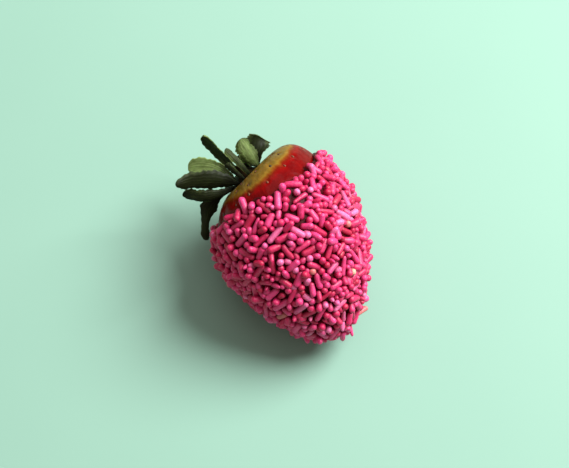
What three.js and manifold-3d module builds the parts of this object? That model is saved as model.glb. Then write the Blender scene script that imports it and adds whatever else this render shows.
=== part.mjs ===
// A strawberry dipped in chocolate and rolled in sugar sprinkles, lying on its side.
//
// The whole fruit runs through the middle. A chocolate coat, open at the leaf end, fits round it, and
// the largest of the sprinkles are fused to the coat. The leaf end carries a green crown: a disc with
// a stub of stem, and eleven leaves that stand round it.
//
// Units are millimetres and +Z is up. +X runs from the leaves towards the tip. The origin is on the
// surface that the berry rests on, under the middle of the object's bounding box.
import * as THREE from "three";
import { mergeVertices } from "three/addons/utils/BufferGeometryUtils.js";
import Module from "manifold-3d";

const wasm = await Module();
wasm.setup();

const { clamp, lerp, smoothstep } = THREE.MathUtils;
const DEGREE = Math.PI / 180;
const TURN = 2 * Math.PI;

// The fruit, in its own frame: X runs from the middle of the leaf end to the tip. A "clock" angle goes
// round that axis, 0 on the top (+Z) and a quarter turn on the +Y side. A "polar" angle goes along it,
// 0 at the leaf end and half a turn at the tip.
const SHOULDER_LENGTH = 17.4;
const POINT_LENGTH = 25.2;
const HALF_WIDTH = 16.6;
const HALF_HEIGHT = 15.5;
const SHOULDER_ROUNDNESS = 0.26; // a power: the lower it is, the squarer the shoulder
const SHOULDER_SKEW = 0.1; // taken from that power on the +Y side, and added to it on the -Y side
const POINT_SHARPNESS = 1.4;
const POINT_ROUNDNESS = 0.55;
const LOBES = [
  { size: 0.018, turns: 3, from: 0.6 },
  { size: 0.01, turns: 5, from: -1 },
]; // shares of the radius, as waves round the fruit
const DIMPLE_RADIUS = 7;
const DIMPLE_DEPTH = 2.2;
const LEAF_END_SLOPE = 0.2; // how far the leaf end leans forward, for each millimetre to the -Y side
const SLOPE_REACH = 44;
const BOW = 1.4; // how far the middle of the fruit bows out to the +Y side
const FRUIT_RINGS = 18;
const FRUIT_SIDES = 26;
const RINGS_TO_LEAF_END = 1.7; // above 1, the rings lie closer together towards the leaf end

// How the fruit lies: tipped forward until its flank rests, on a foot pressed flat.
const LEAN = 18 * DEGREE;
const FOOT_PRESS = 0.3; // how much of the coat's lowest point the flat foot takes off

// The chocolate.
const COAT_GAP = 0.3;
const COAT_THICKNESS = 0.6;
const COAT_RINGS = 13;
const COAT_SIDES = 26;
const LIP_STEPS = 3;
const DIP_DEPTH = 7.1; // X of the chocolate's edge, on average round the fruit
const EDGE_WAVES = [
  { size: 1.3, turns: 1, from: 1.8 },
  { size: 0.6, turns: 2, from: 0 },
  { size: 0.9, turns: 3, from: -1.6 },
  { size: 0.3, turns: 7, from: 1 },
];
const LIP_CURVE = 15.2; // millimetres of skin to each radian of polar angle, near the edge

// The sprinkles. They drop one after another, the longest first, until there are as many as wanted.
const SPRINKLE_RADIUS = 0.8;
const SPRINKLE_SIDES = 5;
const SPRINKLE_TIP = 0.8 * SPRINKLE_RADIUS; // the length of each pointed end
const SPRINKLES = 200;
const TRIES_TO_SHORTEST = 5000; // how many it would take for the lengths to run all the way down
const LONGEST_SPRINKLE = 5.6;
const SHORTEST_SPRINKLE = 1.9;
const SHORTENING = 0.25; // a power: the lower it is, the sooner the short ones begin
const LENGTH_JITTER = 0.35; // of the whole range from longest to shortest
const STANDING_SHARE = 0.5; // of those that are no longer than the next value
const LONGEST_STANDING = 3;
const STANDING_LEAN = [15, 60];
const LYING_LEAN = 14;
const EDGE_MARGIN = 0.3; // from the chocolate's edge to the middle of the nearest sprinkle
const SEAT_HEIGHT = 0.15; // a lying sprinkle's axis above the chocolate that it is stuck in
const MOST_RAISE = 0.4; // how much higher a neighbour may make it lie
const RAISE_STEP = 0.1;
const CLOSENESS = 0.82; // the share of two radii that must be left between two axes
const AREA_BANDS = 200;
const AREA_STEPS = 400;
const RANDOM_SEED = 20817;
const PLASTIC = 1.324717957244746; // strides of 1 / PLASTIC and its square fill a square evenly
// Three that stand out further than the rest, in degrees and millimetres. A heading of 0 points to
// the tip of the berry, and a lean of 90 stands straight up from the chocolate.
const STANDING_OUT = [
  { polar: 117, clock: 77, heading: 180, lean: 65, length: 3.2 },
  { polar: 171, clock: 80, heading: 0, lean: 60, length: 3.8 },
  { polar: 149, clock: -103, heading: 0, lean: 50, length: 3.6 },
];

// The crown.
const DISC_RADIUS = 3.2;
const DISC_THICKNESS = 0.9;
const DISC_GAP = 0.5;
const DISC_STEPS = 4;
const DISC_SIDES = 16;
const DISC_BEVEL = 0.35;
const DISC_SHOULDER = 0.75; // the share of its radius where the bevel begins
const STEM_RADIUS = 1.1;
const STEM_LENGTH = 2.4;
const STEM_BEVEL = 0.2;
const STEM_FLARE = 1.25; // how much wider it is at its foot
const LEAF_THICKNESS = 0.5;
const LEAF_ROOT = 3.8; // from the stem's axis
const LEAF_LEVEL = -0.5;
const LEAF_ROOT_WIDTH = 0.9;
const LEAF_TIP = 0.14; // the share of a leaf's length over which its tip rounds off
const LEAF_RIPPLE = 0.16; // of the half width
const LEAF_RIPPLES = 1.6; // along the leaf
const LEAF_STATIONS = 9;
const STATIONS_TO_TIP = 1.35; // above 1, the stations lie closer together towards the tip
const LEAF_STRIPS = 4;

// Each leaf stands at a clock angle round the stem, in degrees: 0 on the berry's top, 90 on its +Y side.
// From its root its tip is so far out, aside (towards larger clock angles) and up along the stem, and
// its middle bows by so much out and up. Its widths are at a quarter, a half and three quarters of its
// length and at its end. The blade rolls round its own length from one angle to the other. Its cup is
// the depth of its hollow as a share of its half width.
const LEAVES = [
  { at: -162, tip: [6.5, 0, 0.5], bow: [0.1, 1.2], widths: [2.4, 3.4, 3, 1.6], roll: [0, 10], cup: 0.3 },
  { at: -133, tip: [7.1, 0, 11], bow: [-2, 1.1], widths: [2.2, 3.5, 4.6, 4.3], roll: [-30, -41], cup: 0.3 },
  { at: -108, tip: [13.9, -0.9, -4.9], bow: [0.9, 2.9], widths: [2.4, 4.6, 2.4, 3.2], roll: [54, 48], cup: 0.3 },
  { at: -84, tip: [11.2, 0.5, 7.2], bow: [1.4, -1.1], widths: [2.4, 3.4, 4, 3.8], roll: [50, 28], cup: 0.4 },
  { at: -60, tip: [14, -0.8, 9.6], bow: [-0.8, 0.5], widths: [3.9, 5, 5, 2.6], roll: [28, 35], cup: 0.35 },
  { at: -31, tip: [2, -0.2, 5.6], bow: [0.6, 1], widths: [1.2, 1.7, 1.8, 1.2], roll: [0, -12], cup: 0.4 },
  { at: -4, tip: [1.9, -0.5, 8.3], bow: [0.9, -0.3], widths: [1.3, 1.6, 2.1, 2.3], roll: [12, 26], cup: 0.5 },
  { at: 50, tip: [1.9, -1.4, 7.7], bow: [0, -0.4], widths: [3.2, 4.8, 5, 3.6], roll: [-38, -33], cup: 0.45 },
  { at: 108, tip: [4.6, -2.4, 5.4], bow: [0.6, 1.2], widths: [3.2, 5.9, 6.2, 5.6], roll: [14, 120], cup: 0.2 },
  { at: 134, tip: [1.2, 1.4, 5.1], bow: [-1.1, 0.6], widths: [2.2, 2.7, 2.7, 2], roll: [6, 2], cup: 0.3 },
  { at: 173, tip: [2.2, 0.9, 14.5], bow: [4.2, 0], widths: [1.4, 2.9, 3.6, 3.2], roll: [-41, -51], cup: 0.3 },
];
const DROOPING_LEAF = LEAVES[2]; // its tip hangs beside the chocolate, and sprinkles keep off it
const LEAF_CLEARANCE = 2.1; // from the leaf's middle line to the nearest sprinkle's middle line

const MERGE_WITHIN = 1e-4;
const CUTTER_SIZE = 200;

const GREEN = new THREE.MeshStandardMaterial({ color: 0x4b5a26, roughness: 0.6, metalness: 0 });
const BROWN_GREEN = new THREE.MeshStandardMaterial({ color: 0x4d3b1c, roughness: 0.75, metalness: 0 });
const RED = new THREE.MeshStandardMaterial({ color: 0xa81a12, roughness: 0.3, metalness: 0 });
const PINK = new THREE.MeshStandardMaterial({ color: 0xe8407f, roughness: 0.45, metalness: 0 });

// A repeatable draw of numbers from 0 to 1.
function randomDraw(seed) {
  const multiplier = 16807;
  const modulus = 2147483647;
  let state = seed;
  return () => {
    state = (state * multiplier) % modulus;
    return state / modulus;
  };
}

// The sum of some waves at a clock angle.
function sumOf(waves, clock) {
  return waves.reduce((sum, { size, turns, from }) => sum + size * Math.cos(turns * clock + from), 0);
}

// ---------------------------------------------------------------------------------------------
// The surfaces of the fruit and of what lies on it

function fruitPoint(polar, clock) {
  const along = -Math.cos(polar);
  const size =
    along < 0
      ? (1 - along ** 2) ** (SHOULDER_ROUNDNESS - SHOULDER_SKEW * Math.sin(clock))
      : (1 - along ** POINT_SHARPNESS) ** POINT_ROUNDNESS;
  const lobes = 1 + sumOf(LOBES, clock);
  const y = HALF_WIDTH * size * lobes * Math.sin(clock);
  const z = HALF_HEIGHT * size * lobes * Math.cos(clock);
  const straight = SHOULDER_LENGTH + along * (along < 0 ? SHOULDER_LENGTH : POINT_LENGTH);
  const dimple = along < 0 ? dimpleDepth(Math.hypot(y, z)) : 0;
  const slope = LEAF_END_SLOPE * y * (1 - smoothstep(straight, 0, SLOPE_REACH));
  const bow = BOW * Math.sin(Math.PI * clamp(straight / (SHOULDER_LENGTH + POINT_LENGTH), 0, 1));
  return new THREE.Vector3(straight + dimple - slope, y + bow, z);
}

function dimpleDepth(radius) {
  return radius < DIMPLE_RADIUS ? DIMPLE_DEPTH * (1 - (radius / DIMPLE_RADIUS) ** 2) ** 2 : 0;
}

function fruitNormal(polar, clock) {
  const step = 0.01;
  const nearPole = 0.03;
  if (polar < nearPole) return new THREE.Vector3(-1, 0, 0);
  if (polar > Math.PI - nearPole) return new THREE.Vector3(1, 0, 0);
  const along = fruitPoint(polar + step, clock).sub(fruitPoint(polar - step, clock));
  const round = fruitPoint(polar, clock + step).sub(fruitPoint(polar, clock - step));
  return along.cross(round).normalize();
}

// A point that is a given height above the fruit's skin.
function above(polar, clock, height) {
  return fruitPoint(polar, clock).addScaledVector(fruitNormal(polar, clock), height);
}

// X of the chocolate's edge.
function edgeOfChocolate(clock) {
  return DIP_DEPTH + sumOf(EDGE_WAVES, clock);
}

// The polar angle at which the fruit's skin crosses that line.
function edgePolar(clock) {
  const halvings = 30;
  let low = 0.5;
  let high = Math.PI / 2;
  for (let i = 0; i < halvings; i++) {
    const middle = (low + high) / 2;
    if (fruitPoint(middle, clock).x < edgeOfChocolate(clock)) low = middle;
    else high = middle;
  }
  return low;
}

// ---------------------------------------------------------------------------------------------
// Closed meshes and solids

// A closed surface over rings of points, with a point at each end. Where splitsBack says so, the
// four-sided faces are cut along their other diagonal.
function closedSurface(start, rings, end, splitsBack = () => false) {
  const sides = rings[0].length;
  const points = [start, ...rings.flat(), end];
  const last = points.length - 1;
  const faces = [];
  for (let i = 0; i < sides; i++) {
    const next = (i + 1) % sides;
    faces.push(0, 1 + i, 1 + next);
    for (let j = 0; j + 1 < rings.length; j++) {
      const a = 1 + j * sides + i;
      const d = 1 + j * sides + next;
      const b = a + sides;
      const c = d + sides;
      if (splitsBack(i)) faces.push(a, b, d, b, c, d);
      else faces.push(a, b, c, a, c, d);
    }
    const lastRing = last - sides;
    faces.push(lastRing + i, last, lastRing + next);
  }
  return new THREE.BufferGeometry().setFromPoints(points).setIndex(faces);
}

function ring(sides, pointAt) {
  return Array.from({ length: sides }, (_, i) => pointAt((TURN * i) / sides));
}

function solidOf(geometry) {
  const bare = geometry.clone();
  bare.deleteAttribute("normal");
  bare.deleteAttribute("uv");
  const merged = mergeVertices(bare, MERGE_WITHIN);
  return new wasm.Manifold(
    new wasm.Mesh({
      numProp: 3,
      vertProperties: merged.attributes.position.array,
      triVerts: new Uint32Array(merged.index.array),
    }),
  );
}

function geometryOf(solid) {
  const mesh = solid.getMesh();
  return new THREE.BufferGeometry()
    .setAttribute("position", new THREE.BufferAttribute(mesh.vertProperties, 3))
    .setIndex(new THREE.BufferAttribute(mesh.triVerts, 1));
}

function named(name, geometry, material) {
  const mesh = new THREE.Mesh(geometry, material);
  mesh.name = name;
  return mesh;
}

// ---------------------------------------------------------------------------------------------
// The fruit and its chocolate

function fruitGeometry() {
  const rings = [];
  for (let j = 1; j < FRUIT_RINGS; j++) {
    const polar = Math.PI * (j / FRUIT_RINGS) ** RINGS_TO_LEAF_END;
    rings.push(ring(FRUIT_SIDES, (clock) => fruitPoint(polar, clock)));
  }
  return closedSurface(fruitPoint(0, 0), rings, fruitPoint(Math.PI, 0));
}

// One skin of the coat, from its edge to the tip, as rings at a given height above the fruit.
function coatRings(height) {
  const rings = [];
  for (let j = 0; j < COAT_RINGS; j++) {
    const share = j / COAT_RINGS;
    rings.push(
      ring(COAT_SIDES, (clock) => {
        const edge = edgePolar(clock);
        return above(edge + (Math.PI - edge) * share, clock, height);
      }),
    );
  }
  return rings;
}

// The rounded lip that joins the coat's inner and outer skins at the edge.
function lipRings() {
  const half = COAT_THICKNESS / 2;
  const rings = [];
  for (let j = 1; j < LIP_STEPS; j++) {
    const turn = (Math.PI * j) / LIP_STEPS;
    rings.push(
      ring(COAT_SIDES, (clock) => {
        const edge = edgePolar(clock);
        const reach = (half * Math.sin(turn)) / LIP_CURVE;
        return above(edge - reach, clock, COAT_GAP + half - half * Math.cos(turn));
      }),
    );
  }
  return rings;
}

function coatGeometry() {
  const inner = coatRings(COAT_GAP).reverse();
  const outer = coatRings(COAT_GAP + COAT_THICKNESS);
  const innerTip = above(Math.PI, 0, COAT_GAP);
  const outerTip = above(Math.PI, 0, COAT_GAP + COAT_THICKNESS);
  return closedSurface(innerTip, [...inner, ...lipRings(), ...outer], outerTip);
}

// ---------------------------------------------------------------------------------------------
// The sprinkles

// Polar angles that cut the fruit into bands of equal area, from the leaf end to the tip.
function equalAreaPolars() {
  const areas = [0];
  for (let i = 1; i <= AREA_STEPS; i++) {
    const before = fruitPoint((Math.PI * (i - 1)) / AREA_STEPS, 0);
    const now = fruitPoint((Math.PI * i) / AREA_STEPS, 0);
    areas.push(areas[i - 1] + ((before.z + now.z) / 2) * before.distanceTo(now));
  }
  return Array.from({ length: AREA_BANDS + 1 }, (_, band) => {
    const wanted = (areas[AREA_STEPS] * band) / AREA_BANDS;
    const found = Math.max(1, areas.findIndex((area) => area >= wanted));
    const part = (wanted - areas[found - 1]) / (areas[found] - areas[found - 1]);
    return (Math.PI * (found - 1 + part)) / AREA_STEPS;
  });
}

// The least distance between two straight lines, each from its centre out both ways.
function distanceBetween(a, b) {
  const parallel = 1e-6;
  const offset = a.centre.clone().sub(b.centre);
  const slant = a.way.dot(b.way);
  const alongA = a.way.dot(offset);
  const alongB = b.way.dot(offset);
  const spread = 1 - slant * slant;
  let onA = spread < parallel ? 0 : (slant * alongB - alongA) / spread;
  onA = clamp(onA, -a.reach, a.reach);
  let onB = slant * onA + alongB;
  onB = clamp(onB, -b.reach, b.reach);
  onA = clamp(slant * onB - alongA, -a.reach, a.reach);
  return offset.addScaledVector(a.way, onA).addScaledVector(b.way, -onB).length();
}

// The drooping leaf's middle line as short rods in the fruit's frame, for sprinkles to keep off.
function leafToKeepOff() {
  const frame = crownFrame().multiply(leafFrame(DROOPING_LEAF));
  const pieces = 6;
  const points = Array.from({ length: pieces + 1 }, (_, i) =>
    spineOf(DROOPING_LEAF, i / pieces).applyMatrix4(frame),
  );
  return points.slice(1).map((end, i) => ({
    centre: points[i].clone().lerp(end, 0.5),
    way: end.clone().sub(points[i]).normalize(),
    reach: end.distanceTo(points[i]) / 2,
  }));
}

// Sprinkles dropped evenly over the coat, after the ones that stand out. One that would have to lie
// too high, or that would touch the drooping leaf, is left out.
function droppedSprinkles(wanted) {
  const random = randomDraw(RANDOM_SEED);
  const polars = equalAreaPolars();
  const leafRods = leafToKeepOff();
  const dropped = STANDING_OUT.map((s) => seatedSprinkle(inRadians(s), 0, [], []));
  for (let n = 1; n <= TRIES_TO_SHORTEST && dropped.length < wanted; n++) {
    const place = ((n / PLASTIC) % 1) * AREA_BANDS;
    const band = Math.floor(place);
    const polar = polars[band] + (polars[band + 1] - polars[band]) * (place - band);
    const clock = TURN * ((n / PLASTIC ** 2) % 1);
    const jitter = LENGTH_JITTER * (random() - 0.5);
    const shorter = clamp((n / TRIES_TO_SHORTEST) ** SHORTENING + jitter, 0, 1);
    const length = LONGEST_SPRINKLE - (LONGEST_SPRINKLE - SHORTEST_SPRINKLE) * shorter;
    const heading = TURN * random();
    const stands = random() < STANDING_SHARE && length < LONGEST_STANDING;
    const [least, most] = stands ? STANDING_LEAN : [0, LYING_LEAN];
    const lean = (least + (most - least) * random()) * DEGREE;
    if (fruitPoint(polar, clock).x < edgeOfChocolate(clock) + EDGE_MARGIN) continue;
    const drop = { polar, clock, heading, lean, length };
    const seated = seatedSprinkle(drop, MOST_RAISE, dropped, leafRods);
    if (seated) dropped.push(seated);
  }
  return dropped;
}

function inRadians({ polar, clock, heading, lean, length }) {
  const [p, c, h, l] = [polar, clock, heading, lean].map((angle) => angle * DEGREE);
  return { polar: p, clock: c, heading: h, lean: l, length };
}

function seatedSprinkle({ polar, clock, heading, lean, length }, highest, others, leafRods) {
  const up = fruitNormal(polar, clock);
  const across = new THREE.Vector3(1, 0, 0).cross(up).normalize();
  const forward = up.clone().cross(across);
  const way = forward
    .multiplyScalar(Math.cos(heading))
    .addScaledVector(across, Math.sin(heading))
    .multiplyScalar(Math.cos(lean))
    .addScaledVector(up, Math.sin(lean));
  const reach = length / 2 - SPRINKLE_RADIUS;
  const seat = COAT_GAP + COAT_THICKNESS + SEAT_HEIGHT + reach * Math.sin(lean);
  const needed = 2 * SPRINKLE_RADIUS * CLOSENESS;
  for (let raised = 0; raised <= highest; raised += RAISE_STEP) {
    const sprinkle = { centre: above(polar, clock, seat + raised), way, reach };
    const clears = (other) => distanceBetween(sprinkle, other) >= needed;
    const offLeaf = (rod) => distanceBetween(sprinkle, rod) >= LEAF_CLEARANCE;
    if (others.every(clears)) return leafRods.every(offLeaf) ? sprinkle : null;
  }
  return null;
}

// A rod with pointed-round ends.
function sprinkleGeometry({ centre, way, reach }) {
  const turned = new THREE.Quaternion().setFromUnitVectors(new THREE.Vector3(1, 0, 0), way);
  const at = (x, y, z) => new THREE.Vector3(x, y, z).applyQuaternion(turned).add(centre);
  const rod = [-reach, reach].map((x) =>
    ring(SPRINKLE_SIDES, (clock) =>
      at(x, SPRINKLE_RADIUS * Math.sin(clock), SPRINKLE_RADIUS * Math.cos(clock)),
    ),
  );
  const tip = reach + SPRINKLE_TIP;
  return closedSurface(at(-tip, 0, 0), rod, at(tip, 0, 0));
}

// The coat with its sprinkles fused on, cut flat where it rests.
function sprinkledCoat(lying) {
  const sprinkles = droppedSprinkles(SPRINKLES).map((s) => solidOf(sprinkleGeometry(s)));
  const fused = wasm.Manifold.union([solidOf(coatGeometry()), ...sprinkles]);
  const below = new THREE.BoxGeometry(CUTTER_SIZE, CUTTER_SIZE, CUTTER_SIZE);
  below.translate(0, 0, -CUTTER_SIZE / 2);
  below.applyMatrix4(lying.matrixWorld.clone().invert());
  const pieces = fused.subtract(solidOf(below)).decompose();
  return geometryOf(pieces.reduce((most, piece) => (piece.volume() > most.volume() ? piece : most)));
}

// ---------------------------------------------------------------------------------------------
// The crown. Its frame has the stem along +Z, with +X towards the top of the fruit and +Y to its +Y side.

// The disc follows the dimple that it sits in, and the stem's stub stands on its middle.
function discGeometry() {
  const stemTop = STEM_LENGTH + DISC_THICKNESS;
  const underside = Array.from({ length: DISC_STEPS + 1 }, (_, i) => {
    const radius = (DISC_RADIUS * i) / DISC_STEPS;
    return [radius, DISC_GAP - dimpleDepth(radius)];
  });
  const profile = [
    ...underside,
    [DISC_RADIUS, DISC_THICKNESS - dimpleDepth(DISC_RADIUS)],
    [DISC_RADIUS * DISC_SHOULDER, DISC_THICKNESS - DISC_BEVEL],
    [STEM_RADIUS * STEM_FLARE, DISC_THICKNESS],
    [STEM_RADIUS, stemTop - STEM_BEVEL],
    [STEM_RADIUS - STEM_BEVEL, stemTop],
    [0, stemTop],
  ];
  const points = profile.map(([radius, level]) => new THREE.Vector2(radius, level));
  return new THREE.LatheGeometry(points, DISC_SIDES).rotateX(Math.PI / 2);
}

// Half the leaf's width at a share of its length, from a narrow root to a rounded tip.
function halfWidthAt(share, widths) {
  const stops = [LEAF_ROOT_WIDTH, ...widths];
  const part = Math.min(Math.floor(share * widths.length), widths.length - 1);
  const width = lerp(stops[part], stops[part + 1], smoothstep(share * widths.length - part, 0, 1));
  const roundedOff = clamp((share - 1) / LEAF_TIP + 1, 0, 1);
  return (width / 2) * Math.sqrt(1 - roundedOff ** 2);
}

// A point on the middle line of a leaf that starts at the origin and sets off along +X.
function spineOf({ tip, bow }, share) {
  const bowed = 4 * share * (1 - share);
  const [out, aside, up] = tip;
  return new THREE.Vector3(out * share + bow[0] * bowed, aside * share, up * share + bow[1] * bowed);
}

// A thin wavy leaf along that line.
function leafGeometry(leaf, phase) {
  const { widths, roll, cup } = leaf;
  const step = 0.01;
  const rings = [];
  for (let j = 0; j < LEAF_STATIONS; j++) {
    const share = 1 - (1 - j / LEAF_STATIONS) ** STATIONS_TO_TIP;
    const spine = spineOf(leaf, share);
    const forward = spineOf(leaf, share + step).sub(spine).normalize();
    const turned = (roll[0] + (roll[1] - roll[0]) * share) * DEGREE;
    const face = forward.clone().cross(new THREE.Vector3(0, 1, 0)).normalize();
    face.applyAxisAngle(forward, turned);
    const across = face.clone().cross(forward);
    rings.push(leafRing(spine, across, face, halfWidthAt(share, widths), cup, share, phase));
  }
  const start = rings[0][LEAF_STRIPS / 2].clone().lerp(rings[0][(3 * LEAF_STRIPS) / 2 + 1], 0.5);
  const onBottom = (i) => i > LEAF_STRIPS && i <= 2 * LEAF_STRIPS;
  return closedSurface(start, rings, spineOf(leaf, 1), onBottom);
}

// A loop round the leaf: over the top face from side to side, and back under it.
function leafRing(spine, across, face, half, cup, share, phase) {
  const at = (side, up) => {
    const ripple = LEAF_RIPPLE * Math.sin(TURN * LEAF_RIPPLES * share + phase) * side;
    const height = half * (cup * side * side + ripple * Math.abs(side)) + up;
    return spine.clone().addScaledVector(across, half * side).addScaledVector(face, height);
  };
  const sides = Array.from({ length: LEAF_STRIPS + 1 }, (_, i) => (2 * i) / LEAF_STRIPS - 1);
  const top = sides.map((side) => at(side, LEAF_THICKNESS / 2));
  const bottom = sides.reverse().map((side) => at(side, -LEAF_THICKNESS / 2));
  return [...top, ...bottom];
}

function crownFrame() {
  const slope = Math.atan(LEAF_END_SLOPE);
  const stem = new THREE.Vector3(-Math.cos(slope), -Math.sin(slope), 0);
  const top = new THREE.Vector3(0, 0, 1);
  return new THREE.Matrix4().makeBasis(top, stem.clone().cross(top), stem);
}

function leafFrame({ at }) {
  const turned = new THREE.Matrix4().makeRotationZ(at * DEGREE);
  return turned.multiply(new THREE.Matrix4().makeTranslation(LEAF_ROOT, 0, LEAF_LEVEL));
}

function crown() {
  const group = new THREE.Group();
  group.applyMatrix4(crownFrame());
  group.add(named("crown_disc", discGeometry(), BROWN_GREEN));
  LEAVES.forEach((leaf, i) => {
    const mesh = named(`leaf_${String(i + 1).padStart(2, "0")}`, leafGeometry(leaf, i), GREEN);
    mesh.applyMatrix4(leafFrame(leaf));
    group.add(mesh);
  });
  return group;
}

// ---------------------------------------------------------------------------------------------
// Putting the berry on its resting plane

function lowestPoint(geometry, matrix) {
  const at = new THREE.Vector3();
  const positions = geometry.attributes.position;
  let low = Infinity;
  for (let i = 0; i < positions.count; i++) {
    low = Math.min(low, at.fromBufferAttribute(positions, i).applyMatrix4(matrix).z);
  }
  return low;
}

const berry = new THREE.Group();
berry.rotation.y = LEAN;
berry.updateMatrixWorld(true);
berry.position.z = -lowestPoint(coatGeometry(), berry.matrixWorld) - FOOT_PRESS;
berry.updateMatrixWorld(true);
berry.add(named("fruit", fruitGeometry(), RED));
berry.add(named("sprinkled_coat", sprinkledCoat(berry), PINK));
berry.add(crown());

const strawberry = new THREE.Group();
strawberry.add(berry);
strawberry.updateMatrixWorld(true);
const middle = new THREE.Box3().setFromObject(strawberry, true).getCenter(new THREE.Vector3());
berry.position.x -= middle.x;
berry.position.y -= middle.y;

export default strawberry;
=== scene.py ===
"""The looks of a strawberry dipped in dark chocolate and rolled in pink sugar sprinkles.

The shapes are worked out in millimetres in the berry's own frame, and to_row() lays them in the row's
frame, in metres. In the berry's frame X runs from the middle of the leaf end to the tip. A clock angle
goes round that axis, 0 on the top and a quarter turn on the +Y side. A polar angle goes along it, 0 at
the leaf end and half a turn at the tip.
"""
import math
from collections import namedtuple

import bpy
import numpy as np
from mathutils import Matrix, Vector, noise


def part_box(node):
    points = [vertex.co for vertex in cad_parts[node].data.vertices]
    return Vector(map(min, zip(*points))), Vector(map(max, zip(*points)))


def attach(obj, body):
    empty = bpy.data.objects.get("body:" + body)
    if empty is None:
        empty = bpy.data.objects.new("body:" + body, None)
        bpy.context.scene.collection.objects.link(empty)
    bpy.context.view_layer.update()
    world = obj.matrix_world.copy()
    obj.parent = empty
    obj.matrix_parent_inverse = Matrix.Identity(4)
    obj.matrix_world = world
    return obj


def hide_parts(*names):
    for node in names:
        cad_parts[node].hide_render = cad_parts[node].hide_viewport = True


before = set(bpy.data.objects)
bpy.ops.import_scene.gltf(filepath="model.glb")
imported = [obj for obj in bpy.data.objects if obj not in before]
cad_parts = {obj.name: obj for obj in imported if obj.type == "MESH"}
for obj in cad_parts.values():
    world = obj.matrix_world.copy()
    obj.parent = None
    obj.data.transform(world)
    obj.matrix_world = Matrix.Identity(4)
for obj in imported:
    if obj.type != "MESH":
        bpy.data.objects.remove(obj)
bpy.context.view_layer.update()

MM = 0.001
TURN = 2 * math.pi

# The fruit, as in the CAD. Lengths are in millimetres.
SHOULDER_LENGTH = 17.4
POINT_LENGTH = 25.2
HALF_WIDTH = 16.6
HALF_HEIGHT = 15.5
SHOULDER_ROUNDNESS = 0.26  # a power: the lower it is, the squarer the shoulder
SHOULDER_SKEW = 0.1  # taken from that power on the +Y side, and added to it on the -Y side
POINT_SHARPNESS = 1.4
POINT_ROUNDNESS = 0.55
LOBES = [(0.018, 3, 0.6), (0.01, 5, -1)]  # (share of the radius, waves round the fruit, start)
DIMPLE_RADIUS = 7
DIMPLE_DEPTH = 2.2
LEAF_END_SLOPE = 0.2  # how far the leaf end leans forward, for each millimetre to the -Y side
SLOPE_REACH = 44
BOW = 1.4  # how far the middle of the fruit bows out to the +Y side
CAD_RINGS = 18
CAD_SIDES = 26
CAD_RINGS_TO_LEAF_END = 1.7
LEAN = math.radians(18)  # tipped forward until its flank rests

# The chocolate, as in the CAD.
COAT_TOP = 0.9  # its outer skin above the fruit
DIP_DEPTH = 7.1  # X of the chocolate's edge, on average round the fruit
EDGE_WAVES = [(1.3, 1, 1.8), (0.6, 2, 0), (0.9, 3, -1.6), (0.3, 7, 1)]  # (size, waves, start)
LIP_CURVE = 15.2  # millimetres of skin to each radian of polar angle, near the edge

# The sprinkles, as in the CAD. They drop one after another, the longest first.
SPRINKLE_RADIUS = 0.8
TRIES_TO_SHORTEST = 5000  # how many it would take for the lengths to run all the way down
LONGEST_SPRINKLE = 5.6
SHORTEST_SPRINKLE = 1.9
SHORTENING = 0.25  # a power: the lower it is, the sooner the short ones begin
LENGTH_JITTER = 0.35  # of the whole range from longest to shortest
STANDING_SHARE = 0.5  # of those that are no longer than the next value
LONGEST_STANDING = 3
STANDING_LEAN = (15, 60)  # degrees
LYING_LEAN = (0, 14)
EDGE_MARGIN = 0.3  # from the chocolate's edge to the middle of the nearest sprinkle
SEAT_HEIGHT = 0.15  # a lying sprinkle's axis above the chocolate that it is stuck in
MOST_RAISE = 0.4  # how much higher a neighbour may make it lie
RAISE_STEP = 0.1
NEAR = 9  # further apart than this, two sprinkles cannot touch
CLOSENESS = 0.82  # the share of two radii that must be left between two axes
AREA_BANDS = 200
AREA_STEPS = 400
RANDOM_SEED = 20817
PLASTIC = 1.324717957244746  # strides of 1 / PLASTIC and its square fill a square evenly
# Three that stand out further than the rest, in degrees and millimetres. A heading of 0 points to
# the tip of the berry, and a lean of 90 stands straight up from the chocolate.
STANDING_OUT = [
    dict(polar=117, clock=77, heading=180, lean=65, length=3.2),
    dict(polar=171, clock=80, heading=0, lean=60, length=3.8),
    dict(polar=149, clock=-103, heading=0, lean=50, length=3.6),
]

# The crown, as in the CAD.
DISC_RADIUS = 3.2
DISC_THICKNESS = 0.9
DISC_GAP = 0.5
STEM_RADIUS = 1.1
STEM_LENGTH = 2.4
LEAF_THICKNESS = 0.5
LEAF_ROOT = 3.8  # from the stem's axis
LEAF_LEVEL = -0.5
LEAF_ROOT_WIDTH = 0.9
LEAF_TIP = 0.14  # the share of a leaf's length over which its tip rounds off
LEAF_RIPPLE = 0.16  # of the half width
LEAF_RIPPLES = 1.6  # along the leaf
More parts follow.
